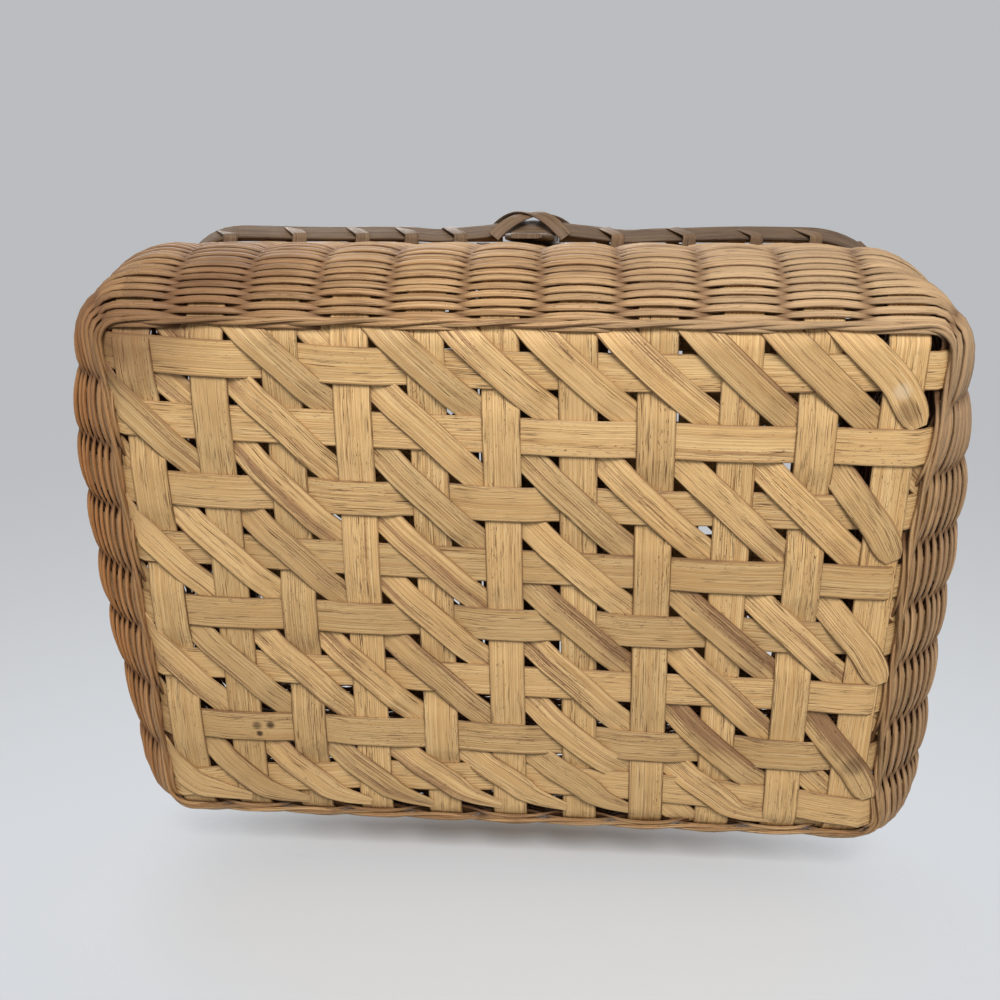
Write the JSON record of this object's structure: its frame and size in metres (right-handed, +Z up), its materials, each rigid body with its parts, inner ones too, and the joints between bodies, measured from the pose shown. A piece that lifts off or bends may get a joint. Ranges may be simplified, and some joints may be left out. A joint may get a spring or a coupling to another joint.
{
  "type": "woven picnic basket",
  "caption": "Rectangular woven cane basket with bowed walls, lattice base, lashed rim, arched carrying handle and half lids hinged on a centre slat.",
  "frame": {"origin": "middle of the base, on the surface the basket stands on", "axes": "+X along the long side, -Y the front (the wall at the top of the picture), +Z up through the mouth"},
  "size_m": [0.468, 0.352, 0.3137],
  "materials": {
    "cane_strip": "dry split cane, straw yellow with brown weathering",
    "cane_weaver": "half-round cane weavers, straw yellow to brown",
    "cane_lashing": "flat cane with a slight sheen",
    "bent_wood": "steam-bent slat, worn smooth"
  },
  "bodies": {
    "basket": {"cross_stake_1": "cane_strip", "cross_stake_2": "cane_strip", "cross_stake_3": "cane_strip", "cross_stake_4": "cane_strip", "cross_stake_5": "cane_strip", "cross_stake_6": "cane_strip", "cross_stake_7": "cane_strip", "cross_stake_8": "cane_strip", "cross_stake_9": "cane_strip", "cross_stake_10": "cane_strip", "cross_stake_11": "cane_strip", "long_stake_1": "cane_strip", "long_stake_2": "cane_strip", "long_stake_3": "cane_strip", "long_stake_4": "cane_strip", "long_stake_5": "cane_strip", "long_stake_6": "cane_strip", "long_stake_7": "cane_strip", "long_stake_8": "cane_strip", "base_diagonal_strips": "cane_strip", "edge_twining": "cane_weaver", "wall_weave": "cane_weaver", "rim_outer_band": "bent_wood", "rim_inner_band": "bent_wood", "rim_filler_left": "cane_weaver", "rim_filler_right": "cane_weaver", "rim_lashing": "cane_lashing", "handle_hoop": "bent_wood", "handle_cross_lashing_front": "cane_lashing", "handle_cross_lashing_back": "cane_lashing", "centre_slat": "bent_wood", "hinge_rod_left": "bent_wood", "hinge_rod_right": "bent_wood", "bar_lashing": "cane_lashing"},
    "left_lid": {"left_lid_bottom_band": "bent_wood", "left_lid_top_band": "bent_wood", "left_lid_long_strips": "cane_strip", "left_lid_cross_strips": "cane_strip", "left_lid_diagonal_strips": "cane_strip", "left_lid_lashing": "cane_lashing", "left_lid_hinge_loops": "cane_lashing"},
    "right_lid": {"right_lid_bottom_band": "bent_wood", "right_lid_top_band": "bent_wood", "right_lid_long_strips": "cane_strip", "right_lid_cross_strips": "cane_strip", "right_lid_diagonal_strips": "cane_strip", "right_lid_lashing": "cane_lashing", "right_lid_hinge_loops": "cane_lashing"}
  },
  "joints": [
    {"name": "left_lid_hinge", "type": "hinge", "parent": "basket", "child": "left_lid", "pos_m": [-0.03, 0, 0.17315], "axis": [0, 1, 0], "range_deg": [0, 94]},
    {"name": "right_lid_hinge", "type": "hinge", "parent": "basket", "child": "right_lid", "pos_m": [0.03, 0, 0.17315], "axis": [0, -1, 0], "range_deg": [0, 94]}
  ]
}
